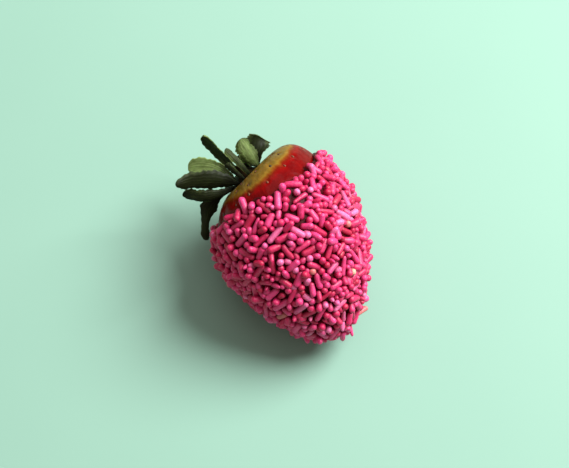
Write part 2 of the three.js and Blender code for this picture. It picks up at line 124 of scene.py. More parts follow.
# Each leaf stands at a clock angle round the stem, in degrees: 0 on the berry's top, 90 on its +Y
# side. From its root its tip is so far out, aside (towards larger clock angles) and up along the
# stem, and its middle bows by so much out and up. Its widths are at a quarter, a half and three
# quarters of its length and at its end. The blade rolls round its own length from one angle to the
# other. Its cup is the depth of its hollow as a share of its half width.
Leaf = namedtuple("Leaf", "at tip bow widths roll cup")
LEAVES = [
    Leaf(-162, (6.5, 0, 0.5), (0.1, 1.2), (2.4, 3.4, 3, 1.6), (0, 10), cup=0.3),
    Leaf(-133, (7.1, 0, 11), (-2, 1.1), (2.2, 3.5, 4.6, 4.3), (-30, -41), cup=0.3),
    Leaf(-108, (13.9, -0.9, -4.9), (0.9, 2.9), (2.4, 4.6, 2.4, 3.2), (54, 48), cup=0.3),
    Leaf(-84, (11.2, 0.5, 7.2), (1.4, -1.1), (2.4, 3.4, 4, 3.8), (50, 28), cup=0.4),
    Leaf(-60, (14, -0.8, 9.6), (-0.8, 0.5), (3.9, 5, 5, 2.6), (28, 35), cup=0.35),
    Leaf(-31, (2, -0.2, 5.6), (0.6, 1), (1.2, 1.7, 1.8, 1.2), (0, -12), cup=0.4),
    Leaf(-4, (1.9, -0.5, 8.3), (0.9, -0.3), (1.3, 1.6, 2.1, 2.3), (12, 26), cup=0.5),
    Leaf(50, (1.9, -1.4, 7.7), (0, -0.4), (3.2, 4.8, 5, 3.6), (-38, -33), cup=0.45),
    Leaf(108, (4.6, -2.4, 5.4), (0.6, 1.2), (3.2, 5.9, 6.2, 5.6), (14, 120), cup=0.2),
    Leaf(134, (1.2, 1.4, 5.1), (-1.1, 0.6), (2.2, 2.7, 2.7, 2), (6, 2), cup=0.3),
    Leaf(173, (2.2, 0.9, 14.5), (4.2, 0), (1.4, 2.9, 3.6, 3.2), (-41, -51), cup=0.3),
]
DROOPING_LEAF = LEAVES[2]  # its tip hangs beside the chocolate, and sprinkles keep off it
LEAF_CLEARANCE = 2.1  # from the leaf's middle line to the nearest sprinkle's middle line


# ----------------------------------------
# The surfaces of the fruit and of what lies on it. Angles may be arrays, and points are (..., 3)


def sum_of(waves, clock):
    return sum(size * np.cos(turns * clock + start) for size, turns, start in waves)


def smoothstep(value, low, high):
    share = np.clip((value - low) / (high - low), 0, 1)
    return share * share * (3 - 2 * share)


def dimple_depth(radius):
    inside = np.clip(1 - (radius / DIMPLE_RADIUS) ** 2, 0, 1)
    return DIMPLE_DEPTH * inside**2


def fruit_point(polar, clock):
    polar, clock = np.broadcast_arrays(np.asarray(polar, float), np.asarray(clock, float))
    along = -np.cos(polar)
    to_leaves = along < 0
    fullness = SHOULDER_ROUNDNESS - SHOULDER_SKEW * np.sin(clock)
    shoulder = np.maximum(1 - along**2, 0) ** fullness
    point = np.maximum(1 - np.abs(along) ** POINT_SHARPNESS, 0) ** POINT_ROUNDNESS
    size = np.where(to_leaves, shoulder, point) * (1 + sum_of(LOBES, clock))
    y = HALF_WIDTH * size * np.sin(clock)
    z = HALF_HEIGHT * size * np.cos(clock)
    straight = SHOULDER_LENGTH + along * np.where(to_leaves, SHOULDER_LENGTH, POINT_LENGTH)
    dimple = np.where(to_leaves, dimple_depth(np.hypot(y, z)), 0)
    slope = LEAF_END_SLOPE * y * (1 - smoothstep(straight, 0, SLOPE_REACH))
    share = np.clip(straight / (SHOULDER_LENGTH + POINT_LENGTH), 0, 1)
    return np.stack([straight + dimple - slope, y + BOW * np.sin(math.pi * share), z], -1)


def unit(vectors):
    return vectors / np.linalg.norm(vectors, axis=-1, keepdims=True)


def fruit_normal(polar, clock):
    step = 0.01
    near_pole = 0.03
    polar, clock = np.broadcast_arrays(np.asarray(polar, float), np.asarray(clock, float))
    inner = np.clip(polar, near_pole, math.pi - near_pole)
    along = fruit_point(inner + step, clock) - fruit_point(inner - step, clock)
    around = fruit_point(inner, clock + step) - fruit_point(inner, clock - step)
    normal = unit(np.cross(along, around))
    normal[polar < near_pole] = (-1, 0, 0)
    normal[polar > math.pi - near_pole] = (1, 0, 0)
    return normal


def above(polar, clock, height):
    """A point that is a given height above the fruit's skin."""
    return fruit_point(polar, clock) + fruit_normal(polar, clock) * np.asarray(height)[..., None]


def edge_of_chocolate(clock):
    return DIP_DEPTH + sum_of(EDGE_WAVES, clock)


def polar_at(wanted, clock):
    """The polar angle on the shoulder at which the fruit's skin reaches an X."""
    least, most, halvings = 0.5, math.pi / 2, 30
    low = np.full(np.shape(clock), least)
    high = np.full(np.shape(clock), most)
    for _ in range(halvings):
        middle = (low + high) / 2
        short = fruit_point(middle, clock)[..., 0] < wanted
        low = np.where(short, middle, low)
        high = np.where(short, high, middle)
    return low


def berry_in_row():
    """Turns the berry's millimetres into the row's metres. Its place comes from the CAD fruit's box."""
    turn = np.array(Matrix.Rotation(LEAN, 3, "Y"))
    polars = math.pi * (np.arange(CAD_RINGS + 1) / CAD_RINGS) ** CAD_RINGS_TO_LEAF_END
    clocks = TURN * np.arange(CAD_SIDES) / CAD_SIDES
    own = fruit_point(polars[:, None], clocks).reshape(-1, 3) @ turn.T
    low_corner = np.array(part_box("fruit")[0]) / MM
    return turn, low_corner - own.min(0)


BERRY_TURN, BERRY_PLACE = berry_in_row()


def to_row(points):
    return (np.asarray(points) @ BERRY_TURN.T + BERRY_PLACE) * MM


# ----------------------------------------
# Meshes


def grid_faces(rows, columns):
    """Quads over rows of points, each row a closed ring."""
    row, column = np.meshgrid(np.arange(rows - 1), np.arange(columns), indexing="ij")
    here = row * columns
    below = here + columns
    across = (column + 1) % columns
    corners = [here + column, below + column, below + across, here + across]
    return np.stack(corners, -1).reshape(-1, 4).tolist()


def fan(centre, ring_start, sides, faces_back):
    """Triangles from one point to a ring."""
    ring = [(ring_start + i, ring_start + (i + 1) % sides) for i in range(sides)]
    return [(centre, b, a) if faces_back else (centre, a, b) for a, b in ring]


def closed_surface(start, rings, end):
    """Points and faces of rings that close to a point at both ends."""
    rows, columns = rings.shape[:2]
    points = np.concatenate([rings.reshape(-1, 3), [start, end]])
    faces = grid_faces(rows, columns)
    faces += fan(rows * columns, 0, columns, faces_back=False)
    faces += fan(rows * columns + 1, (rows - 1) * columns, columns, faces_back=True)
    return points, faces


def joined(shapes):
    """Points and faces of many shapes in one mesh."""
    faces = []
    first = 0
    for own_points, own_faces in shapes:
        faces += [tuple(first + corner for corner in face) for face in own_faces]
        first += len(own_points)
    return np.concatenate([own_points for own_points, _ in shapes]), faces


def rests(points):
    """The same points in the row, pressed flat where they would reach below what the berry lies on."""
    placed = to_row(points)
    placed[:, 2] = np.maximum(placed[:, 2], 0)
    return placed


def add_piece(name, points, faces, material, slot, *nodes, **values):
    """A piece of the object. Each further value is one number, or one vector, for each point."""
    mesh = bpy.data.meshes.new(name)
    mesh.from_pydata(rests(points).tolist(), [], faces)
    mesh.shade_smooth()
    for label, numbers in values.items():
        numbers = np.asarray(numbers, np.float32)
        kind, field = ("FLOAT", "value") if numbers.ndim == 1 else ("FLOAT_VECTOR", "vector")
        mesh.attributes.new(label, kind, "POINT").data.foreach_set(field, numbers.ravel())
    mesh.materials.append(material)
    piece = bpy.data.objects.new(name, mesh)
    bpy.context.scene.collection.objects.link(piece)
    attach(piece, "root")
    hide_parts(*nodes)


def noise_at(points, patch):
    """Smooth noise of about -1 to 1 at each point, in patches of so many millimetres."""
    shift = Vector((17.3, 5.9, 11.7))
    return np.array([noise.noise(Vector(point) / patch + shift) for point in points])


# ----------------------------------------
# Materials


class Shader:
    """A material whose nodes are added one at a time."""

    def __init__(self, name, **settings):
        self.material = bpy.data.materials.new(name)
        self.material.use_nodes = True
        self.tree = self.material.node_tree
        self.surface = self.tree.nodes["Principled BSDF"]
        for socket, value in settings.items():
            title = socket.replace("_", " ").title().replace("Ior", "IOR")
            self.surface.inputs[title].default_value = value

    def let_light_in(self, share, spread, depth):
        """Lets that share of the light in. The spread is how far each colour of it goes, as a share of
        a depth in millimetres."""
        self.surface.inputs["Subsurface Weight"].default_value = share
        self.surface.inputs["Subsurface Radius"].default_value = spread
        self.surface.inputs["Subsurface Scale"].default_value = depth * MM

    def node(self, kind, inputs=(), **settings):
        """A node with its inputs, by name or place: sockets to link, or plain values."""
        node = self.tree.nodes.new("ShaderNode" + kind)
        for name, value in settings.items():
            setattr(node, name, value)
        for socket, value in dict(inputs).items():
            if isinstance(value, bpy.types.NodeSocket):
                self.tree.links.new(value, node.inputs[socket])
            else:
                node.inputs[socket].default_value = value
        return node

    def link(self, value, socket):
        self.tree.links.new(value, self.surface.inputs[socket])

    def attribute(self, name, output="Fac"):
        return self.node("Attribute", attribute_name=name).outputs[output]

    def place(self):
        """The point in millimetres."""
        where = self.node("TexCoord").outputs["Object"]
        inputs = {"Vector": where, "Scale": [1 / MM] * 3}
        return self.node("Mapping", inputs).outputs["Vector"]

    def noise(self, where, patch, detail=3, roughness=0.55):
        """Noise of 0 to 1 in patches of that size."""
        inputs = {"Vector": where, "Scale": 1 / patch, "Detail": detail, "Roughness": roughness}
        return self.node("TexNoise", inputs).outputs["Fac"]

    def maths(self, operation, a, b, clamped=False):
        return self.node("Math", {0: a, 1: b}, operation=operation, use_clamp=clamped).outputs[0]

    def around(self, value, noise_value, swing):
        """The value, moved up and down by noise."""
        moved = self.maths("MULTIPLY", self.maths("SUBTRACT", noise_value, 0.5), swing)
        return self.maths("ADD", value, moved, clamped=True)

    def between(self, value, low, high):
        """A number that runs from low to high as the value runs from 0 to 1."""
        inputs = {"Value": value, "To Min": low, "To Max": high}
        return self.node("MapRange", inputs).outputs["Result"]

    def ramp(self, value, stops):
        """A colour for each value from 0 to 1, from (value, colour) stops."""
        node = self.node("ValToRGB", {"Fac": value})
        elements = node.color_ramp.elements
        while len(elements) < len(stops):
            elements.new(0.5)
        for element, (position, colour) in zip(elements, stops):
            element.position = position
            element.color = (*colour, 1)
        return node.outputs["Color"]

    def mix(self, share, a, b, blend="MIX"):
        """Two colours mixed. The node's colour inputs are its seventh and eighth."""
        inputs = {"Factor": share, 6: a, 7: b}
        return self.node("Mix", inputs, data_type="RGBA", blend_type=blend).outputs[2]

    def bump(self, height, depth, under=None):
        """A bump that deep, in millimetres, on top of another."""
        inputs = {"Height": height, "Distance": depth * MM, "Strength": 1}
        if under is not None:
            inputs["Normal"] = under
        return self.node("Bump", inputs).outputs["Normal"]


# Colours of the materials, as (value from 0 to 1, colour) stops.
SKIN_COLOURS = [
    (0.0, (0.17, 0.1, 0.014)),
    (0.2, (0.24, 0.13, 0.014)),
    (0.38, (0.19, 0.045, 0.004)),
    (0.56, (0.16, 0.008, 0.002)),
    (0.8, (0.2, 0.0015, 0.0015)),
    (1.0, (0.13, 0.001, 0.0015)),
]  # from unripe to ripe
SKIN_MOTTLE = [(0.3, (0.7, 0.6, 0.5)), (0.7, (1, 1, 1))]
SEED_COLOURS = [(0, (0.012, 0.004, 0.002)), (0.5, (0.07, 0.02, 0.006)), (1, (0.18, 0.045, 0.01))]
CHOCOLATE_COLOURS = [
    (0.3, (0.045, 0.001, 0.003)),
    (0.62, (0.05, 0.002, 0.004)),
    (0.8, (0.065, 0.007, 0.008)),
]
PAINTED_CREVICE_SHADE = (0.26, 0.001, 0.016, 1)  # painted shade: the sprinkles' colour low down next to the chocolate, where shade falls between them
# The leaves' darkest stops are painted shade, for the leaves that lie in shadow.
LEAF_COLOURS = [
    (0.0, (0.003, 0.0035, 0.001)),
    (0.35, (0.012, 0.017, 0.004)),
    (0.65, (0.05, 0.072, 0.016)),
    (1.0, (0.2, 0.28, 0.09)),
]
# The stem's colours are near-black: partly its own dark brown, partly painted shade in the middle of the
# crown.
STEM_COLOURS = [
    (0.25, (0.005, 0.0025, 0.0005)),
    (0.55, (0.014, 0.007, 0.0015)),
    (0.8, (0.035, 0.02, 0.005)),
]
FLOOR_COLOURS = [(0, (0.236, 0.418, 0.33)), (1, (0.255, 0.442, 0.35))]


def skin_material():
    """Yellow at the leaves, then orange, then a glossy red, with fine streaks from the leaves on."""
    shader = Shader("berry_skin", specular_ior_level=0.03, coat_weight=0.16, coat_roughness=0.08)
    shader.let_light_in(0.15, (1, 0.2, 0.1), 0.8)
    place = shader.place()
    streaks = shader.noise(shader.attribute("streak_place", "Vector"), 1, detail=4)
    patches = shader.noise(place, 3.5, detail=4)
    ripe = shader.around(shader.around(shader.attribute("ripe"), streaks, 0.35), patches, 0.5)
    colour = shader.ramp(ripe, SKIN_COLOURS)
    fine = shader.noise(place, 0.5, detail=2)
    mottled = shader.mix(0.2, colour, shader.ramp(fine, SKIN_MOTTLE), "MULTIPLY")
    shader.link(mottled, "Base Color")
    shader.link(shader.between(patches, 0.3, 0.5), "Roughness")
    swells = shader.bump(shader.noise(place, 1.9, detail=1), 0.35)
    grooves = shader.bump(streaks, 0.08, under=swells)
    shader.link(shader.bump(fine, 0.03, under=grooves), "Normal")
    return shader.material


def seed_material():
    shader = Shader("berry_seed", roughness=0.4)
    tone = shader.around(shader.attribute("tone"), shader.noise(shader.place(), 0.4), 0.4)
    shader.link(shader.ramp(tone, SEED_COLOURS), "Base Color")
    return shader.material


def chocolate_material():
    """Dark chocolate, satin, with a little paler bloom."""
    shader = Shader("dark_chocolate", specular_ior_level=0.06)
    place = shader.place()
    bloom = shader.noise(place, 2.2, detail=5, roughness=0.65)
    fine = shader.noise(place, 0.35, detail=2)
    shader.link(shader.ramp(bloom, CHOCOLATE_COLOURS), "Base Color")
    shader.link(shader.between(bloom, 0.25, 0.5), "Roughness")
    shader.link(shader.bump(fine, 0.05, under=shader.bump(bloom, 0.2)), "Normal")
    return shader.material


def sprinkle_material(name, deep, bright):
    """Waxy sugar. Each sprinkle is a little deeper or brighter than the next, and faintly mottled. Low
    on each sprinkle, next to the chocolate, painted shade darkens it to a deep crimson, for the shade
    between the sprinkles.
    """
    shader = Shader(name, specular_ior_level=0.5)
    shader.let_light_in(0.35, (1, 0.3, 0.45), 0.5)
    place = shader.place()
    mottle = shader.noise(place, 0.9, detail=4)
    tone = shader.around(shader.attribute("tone"), mottle, 0.45)
    colour = shader.ramp(tone, [(0.05, deep), (0.95, bright)])
    # Painted shade: low on each sprinkle, next to the chocolate, the colour is mixed towards a deep
    # crimson for the shade between the sprinkles.
    out_of_painted_shade = shader.node("MapRange", {"Value": shader.attribute("height"), "From Max": 0.65})
    shader.link(shader.mix(out_of_painted_shade.outputs["Result"], PAINTED_CREVICE_SHADE, colour), "Base Color")
    grain = shader.noise(place, 0.22, detail=2)
    shader.link(shader.between(mottle, 0.36, 0.56), "Roughness")
    shader.link(shader.bump(grain, 0.035, under=shader.bump(mottle, 0.12)), "Normal")
    return shader.material


def leaf_material():
    """Olive green, with veins that run from root to tip, and a paler underside. Its lightness also holds
    painted light: lit leaves lighter and shaded ones darker, painted highlights on the rims and middle
    lines, and painted shade at the roots.
    """
    shader = Shader("leaf", specular_ior_level=0.15)
    shader.let_light_in(0.2, (0.5, 1, 0.2), 0.4)
    veins = shader.noise(shader.attribute("vein_place", "Vector"), 1, detail=3)
    patches = shader.noise(shader.place(), 1.8, detail=4)
    light = shader.around(shader.around(shader.attribute("light"), veins, 0.5), patches, 0.4)
    shader.link(shader.ramp(light, LEAF_COLOURS), "Base Color")
    shader.link(shader.between(patches, 0.42, 0.7), "Roughness")
    shader.link(shader.bump(veins, 0.12), "Normal")
    return shader.material


def stem_material():
    """Dark brown-green, with streaks along the stem. Its near-black is partly its own dark brown and
    partly painted shade in the middle of the crown.
    """
    shader = Shader("stem", roughness=0.75, specular_ior_level=0.05)
    streaks = shader.noise(shader.attribute("streak_place", "Vector"), 1, detail=4)
    shader.link(shader.ramp(streaks, STEM_COLOURS), "Base Color")
    shader.link(shader.bump(streaks, 0.15), "Normal")
    return shader.material


# ----------------------------------------
# The fruit's skin and its seeds

SKIN_SIDES = 320
SHOULDER_RINGS = 96
POINT_RINGS = 34
SHOULDER_TO = 1.38  # polar angle where the fine rings of the bare shoulder end
POLE_SIZE = 0.02  # polar angle of the first ring
SKIN_STREAKS_ROUND = 14  # the higher these two are, the finer the skin's streaks
SKIN_STREAKS_ALONG = 2

RIPE_POLAR = 0.57  # where the skin is half red, on average
RIPE_SWAYS = [(0.1, 2, -0.28)]  # (polar angle, waves round the fruit, start)
RIPE_SPREAD = 0.2

SEEDS_RANDOM_SEED = 7
SEED_ROWS = [7.6, 10.4, 13, 14.9]  # radius of each row of seeds round the berry's axis
SEED_SPACING = 5.4
SEED_STRAY_ROUND = 0.22  # of the spacing
SEED_STRAY_ALONG = 0.06  # polar angle
SEED_SIZE = np.array([0.42, 0.26, 0.16])  # half its length, width and thickness
SEED_SIZE_SPAN = (0.85, 1.15)
SEED_TAPER = 0.25  # how much wider a seed gets towards the tip, and narrower towards the leaves
SEED_RISE = 0.1  # a seed's middle above the bottom of its pit
SEED_MARGIN = 0.9  # from the chocolate's edge
PIT_DEPTH = 0.25
PIT_RADIUS = 0.65
SEED_RINGS = 6
SEED_SIDES = 10


def seed_places(draw):
    """(polar, clock) of each seed on the bare shoulder, in staggered rows."""
    places = []
    for row, radius in enumerate(SEED_ROWS):
        count = round(TURN * radius / SEED_SPACING)
        polar = math.asin((radius / HALF_WIDTH) ** (0.5 / SHOULDER_ROUNDNESS))
        for i in range(count):
            stagger = 0.5 * (row % 2) + draw.uniform(-SEED_STRAY_ROUND, SEED_STRAY_ROUND)
            clock = TURN * (i + stagger) / count
            here = polar + draw.uniform(-SEED_STRAY_ALONG, SEED_STRAY_ALONG)
            if fruit_point(here, clock)[0] < edge_of_chocolate(clock) - SEED_MARGIN:
                places.append((here, clock))
    return np.array(places)


def pit_depths(points, seeds):
    """How deep the skin is pressed in at each point, round the seeds."""
    depths = np.zeros(len(points))
    for polar, clock in seeds:
        distance = np.linalg.norm(points - fruit_point(polar, clock), axis=1)
        depths = np.maximum(depths, PIT_DEPTH * np.exp(-((distance / PIT_RADIUS) ** 2)))
    return depths


def ripeness(polar, clock):
    middle = RIPE_POLAR + sum_of(RIPE_SWAYS, clock)
    return smoothstep(polar, middle - RIPE_SPREAD, middle + RIPE_SPREAD)


def add_skin(seeds, material):
    shoulder = np.linspace(POLE_SIZE, SHOULDER_TO, SHOULDER_RINGS)
    point = np.linspace(SHOULDER_TO, math.pi - POLE_SIZE, POINT_RINGS + 1)[1:]
    clocks = TURN * np.arange(SKIN_SIDES) / SKIN_SIDES
    polar, clock = np.meshgrid(np.concatenate([shoulder, point]), clocks, indexing="ij")
    surface = fruit_point(polar, clock)
    pressed = pit_depths(surface.reshape(-1, 3), seeds).reshape(polar.shape)
    rings = above(polar, clock, -pressed)
    points, faces = closed_surface(fruit_point(0, 0), rings, fruit_point(math.pi, 0))
    all_polars = np.concatenate([polar.ravel(), [0, math.pi]])
    all_clocks = np.concatenate([clock.ravel(), [0, 0]])
    round_place = SKIN_STREAKS_ROUND * np.stack([np.cos(all_clocks), np.sin(all_clocks)])
    streaks = np.stack([*round_place, SKIN_STREAKS_ALONG * all_polars], -1)
    ripe = ripeness(all_polars, all_clocks)
    add_piece("skin", points, faces, material, "berry_skin", "fruit", ripe=ripe, streak_place=streaks)


def surface_frame(polar, clock):
    """Directions at a point of the skin: towards the tip, round the berry, and out."""
    out = fruit_normal(polar, clock)
    around = unit(np.cross((1, 0, 0), out))
    return np.stack([np.cross(out, around), around, out])


def seed_shape():
    """A tear that reaches about 1 to each side of its middle, with its narrow end at -X."""
    along = math.pi * np.arange(1, SEED_RINGS) / SEED_RINGS
    clocks = TURN * np.arange(SEED_SIDES) / SEED_SIDES
    along, clock = np.meshgrid(along, clocks, indexing="ij")
    width = np.sin(along) * (1 - SEED_TAPER * np.cos(along))
    rings = np.stack([-np.cos(along), width * np.sin(clock), width * np.cos(clock)], -1)
    return closed_surface((-1, 0, 0), rings, (1, 0, 0))


def add_seeds(seeds, material, draw):
    """Tear-shaped seeds, each in its pit with its narrow end to the leaves."""
    shape, own_faces = seed_shape()
    shapes = []
    tones = []
    for polar, clock in seeds:
        own = shape * SEED_SIZE * draw.uniform(*SEED_SIZE_SPAN)
        centre = above(polar, clock, SEED_RISE - PIT_DEPTH)
        shapes.append((own @ surface_frame(polar, clock) + centre, own_faces))
        tones.append(draw.uniform(0, 1))
    points, faces = joined(shapes)
    tone = np.repeat(tones, len(shape))
    add_piece("seeds", points, faces, material, "berry_skin", "fruit", tone=tone)


# ----------------------------------------
# The chocolate shell

SHELL_SIDES = 280
SHELL_RINGS = 90
LIP_RINGS = 14
LIP_RINGS_TO_EDGE = 1.5  # above 1, the rings lie closer together towards the edge
LIP_REACH = 0.5  # how far the lip stands before the edge
LIP_LENGTH = 1.3
BEAD_HEIGHT = 0.22  # of the thicker bead behind the lip
BEAD_SPREAD = 0.8
SHELL_UNDER = -0.25  # the shell's inner skin, just inside the fruit's
INNER_EVERY = 3  # the inner skin has a ring for so many of the outer skin's
FINE_EDGE_WAVES = [(0.22, 11, 0.4), (0.16, 17, 2.1), (0.12, 26, 4.0)]  # (size, waves, start)
SHELL_BUMP = 0.22
SHELL_BUMP_SIZE = 3.2


def shell_height(distance):
    """The shell's height over the skin at a distance from the start of its lip."""
    share = np.clip(distance / LIP_LENGTH, 0, 1)
    round_edge = COAT_TOP * np.sqrt(1 - (1 - share) ** 2)
    bead = BEAD_HEIGHT * np.exp(-(((distance - LIP_LENGTH) / BEAD_SPREAD) ** 2))
    return round_edge + bead * share


def shell_polars(clocks):
    """Where the shell starts at each clock angle, and the polar angles of its rings."""
    edge = polar_at(edge_of_chocolate(clocks) + sum_of(FINE_EDGE_WAVES, clocks), clocks)
    start = edge - LIP_REACH / LIP_CURVE
    lip_size = LIP_LENGTH / LIP_CURVE
    lip = start + lip_size * (np.arange(LIP_RINGS) / LIP_RINGS)[:, None] ** LIP_RINGS_TO_EDGE
    behind_lip = start + lip_size
    rest_size = math.pi - POLE_SIZE - behind_lip
    rest = behind_lip + rest_size * np.linspace(0, 1, SHELL_RINGS)[:, None]
    return start, np.concatenate([lip, rest])


def add_shell(material):
    clocks = TURN * np.arange(SHELL_SIDES) / SHELL_SIDES
    start, polar = shell_polars(clocks)
    clock = np.broadcast_to(clocks, polar.shape)
    height = shell_height((polar - start) * LIP_CURVE)
    smooth = above(polar, clock, height)
    bumps = noise_at(smooth.reshape(-1, 3), SHELL_BUMP_SIZE).reshape(polar.shape)
    outer = above(polar, clock, height + SHELL_BUMP * bumps * np.clip(height / COAT_TOP, 0, 1))
    inner = above(polar[::-INNER_EVERY], clock[::-INNER_EVERY], SHELL_UNDER)
    rings = np.concatenate([inner, outer])
    ends = above(math.pi, 0, SHELL_UNDER), above(math.pi, 0, COAT_TOP)
    points, faces = closed_surface(ends[0], rings, ends[1])
    add_piece("chocolate_shell", points, faces, material, "chocolate", "sprinkled_coat")


# ----------------------------------------
# The sprinkles

CAD_LIKE_TRIES = 400  # the CAD has its 200 sprinkles before this, and stops
# Then more of them fill the gaps in stages. The spans are of the length, of how much higher one end
# lies than the other, and of the heading.
FILLING = [
    dict(after=1, tries=4000, spans=[(2, 3.8), (0.3, 1.3), (0, TURN)], highest=0.5, closeness=0.8),
    dict(after=4001, tries=5000, spans=[(1.9, 2.8), (0.3, 0.9), (0, TURN)], highest=0.3, closeness=0.72),
    dict(after=9001, tries=7000, spans=[(1.8, 2.3), (0, 0.4), (0, TURN)], highest=0.1, closeness=0.6),
]
FULL_HEIGHT_AFTER = 10  # millimetres from the chocolate's edge

ROD_SIDES = 10
CAP_RINGS = 3
CAP_FIRST = 0.6  # ring spacings from the rod's end to the first ring
CAP_SPACINGS = 3.1  # ring spacings from the rod's end to where its cap ends
BODY_RINGS = 3
CAP_BLUNTNESS = 0.8  # a power: the lower it is, the squarer the ends
RADIUS_SWING = 0.12
RING_SWING = 0.05
FLATNESS_SPAN = (0.9, 1.05)  # the rod's thickness one way, as a share of the other
MOST_BEND = 0.3
FULL_BEND_REACH = 2  # a rod with less reach bends less
BEND_BASE = 0.5  # the share of the bend by which the rod's middle is off its line
TAPERED_SHARE = 0.16
TAPER = (0.25, 0.6)
LAYER_HEIGHT = 1.8  # of the sprinkles on the chocolate
# (name, share of the sprinkles, deepest colour, brightest colour)
TINTS = [
    ("sprinkles_pink", 0.68, (0.56, 0.012, 0.095), (0.73, 0.05, 0.21)),
    ("sprinkles_deep", 0.21, (0.46, 0.006, 0.055), (0.6, 0.02, 0.12)),
    ("sprinkles_light", 0.1, (0.68, 0.07, 0.24), (0.8, 0.17, 0.38)),
    ("sprinkles_salmon", 0.006, (0.6, 0.14, 0.14), (0.72, 0.26, 0.24)),
    ("sprinkles_cream", 0.004, (0.55, 0.27, 0.19), (0.68, 0.42, 0.3)),
]


def random_draw(seed):
    multiplier = 16807
    modulus = 2147483647
    state = seed
    while True:
        state = (state * multiplier) % modulus
        yield state / modulus


def equal_area_polars():
    """Polar angles that cut the fruit into bands of equal area, from the leaf end to the tip."""
    steps = math.pi * np.arange(AREA_STEPS + 1) / AREA_STEPS
    line = fruit_point(steps, 0)
    lengths = np.linalg.norm(np.diff(line, axis=0), axis=1)
    areas = np.concatenate([[0], np.cumsum((line[:-1, 2] + line[1:, 2]) / 2 * lengths)])
    return np.interp(areas[-1] * np.arange(AREA_BANDS + 1) / AREA_BANDS, areas, steps)


def least_distances(rod, others):
    """The distance from one rod's line to each of the others. A rod is (centre, way, reach)."""
    parallel = 1e-6
    nothing = 1e-9
    centre, way, reach = rod[:3]
    centres, ways, reaches = others
    offset = centre - centres
    slant = ways @ way
    along_a = offset @ way
    along_b = np.sum(offset * ways, axis=1)
    spread = np.maximum(1 - slant * slant, nothing)
    on_a = np.where(spread < parallel, 0, (slant * along_b - along_a) / spread)
    on_a = np.clip(on_a, -reach, reach)
    on_b = np.clip(slant * on_a + along_b, -reaches, reaches)
    on_a = np.clip(slant * on_b - along_a, -reach, reach)
    gaps = offset + on_a[:, None] * way - on_b[:, None] * ways
    return np.linalg.norm(gaps, axis=1)


class Pile:
    """The sprinkles that lie on the chocolate so far, each as a rod. A rod is (centre, way, reach, up,
    height on the skin)."""

    def __init__(self, most, leaf_rods):
        self.leaf_rods = leaf_rods
        self.count = 0
        self.parts = [np.empty((most, *shape)) for shape in ((3,), (3,), (), (3,), ())]

    def add(self, rod):
        for part, value in zip(self.parts, rod):
            part[self.count] = value
        self.count += 1

    def rods(self):
        return list(zip(*(part[: self.count] for part in self.parts)))

    def near(self, point):
        """The rods that a new one there could touch."""
        close = np.linalg.norm(self.parts[0][: self.count] - point, axis=1) < NEAR
        return tuple(part[: self.count][close] for part in self.parts[:3])

    def drop(self, place, heading, lean, length, highest, closeness=CLOSENESS):
        """Adds the sprinkle that lands there, unless it would lie too high or touch the leaf."""
        forward, across, up = surface_frame(*place)
        flat = forward * math.cos(heading) + across * math.sin(heading)
        way = flat * math.cos(lean) + up * math.sin(lean)
        reach = length / 2 - SPRINKLE_RADIUS
        seat = COAT_TOP + SEAT_HEIGHT + reach * math.sin(lean)
        foot = fruit_point(*place)
        others = self.near(foot)
        least = 2 * SPRINKLE_RADIUS * closeness
        raised = 0.0
        while raised <= highest:
            rod = (foot + up * (seat + raised), way, reach, up, seat + raised)
            if not len(others[2]) or least_distances(rod, others).min() >= least:
                if least_distances(rod, self.leaf_rods).min() >= LEAF_CLEARANCE:
                    self.add(rod)
                return
            raised += RAISE_STEP


def landing_place(n, polars):
    """Where the next sprinkle of an even spread lands: its polar and clock angles."""
    polar = float(np.interp((n / PLASTIC) % 1 * AREA_BANDS, np.arange(AREA_BANDS + 1), polars))
    return polar, TURN * ((n / PLASTIC**2) % 1)


def past_edge(polar, clock):
    """How far past the chocolate's edge a place is, towards the tip."""
    return fruit_point(polar, clock)[0] - edge_of_chocolate(clock)


def drop_standing(pile):
    for sprinkle in STANDING_OUT:
        place = math.radians(sprinkle["polar"]), math.radians(sprinkle["clock"])
        heading = math.radians(sprinkle["heading"])
        lean = math.radians(sprinkle["lean"])
        pile.drop(place, heading, lean, sprinkle["length"], 0)


def drop_like_cad(pile, draw, polars):
    """Drops the sprinkles that the CAD drops, in its order, and the next ones."""
    for n in range(1, CAD_LIKE_TRIES + 1):
        place = landing_place(n, polars)
        jitter = LENGTH_JITTER * (next(draw) - 0.5)
        shorter = min(1, max(0, (n / TRIES_TO_SHORTEST) ** SHORTENING + jitter))
        length = LONGEST_SPRINKLE - (LONGEST_SPRINKLE - SHORTEST_SPRINKLE) * shorter
        heading = TURN * next(draw)
        stands = next(draw) < STANDING_SHARE and length < LONGEST_STANDING
        least, most = STANDING_LEAN if stands else LYING_LEAN
        lean = math.radians(least + (most - least) * next(draw))
        if past_edge(*place) >= EDGE_MARGIN:
            pile.drop(place, heading, lean, length, MOST_RAISE)


def drop_filling(pile, stage, draw, polars):
    """Drops more sprinkles into the gaps. Near the chocolate's edge they may not lie as high."""
    first = CAD_LIKE_TRIES + stage["after"]
    for n in range(first, first + stage["tries"]):
        place = landing_place(n, polars)
        length, rise, heading = (low + (high - low) * next(draw) for low, high in stage["spans"])
        lean = math.asin(min(1, rise / (length - 2 * SPRINKLE_RADIUS)))
        distance = past_edge(*place)
        if distance >= EDGE_MARGIN:
            highest = stage["highest"] * min(1, distance / FULL_HEIGHT_AFTER)
            pile.drop(place, heading, lean, length, highest, stage["closeness"])


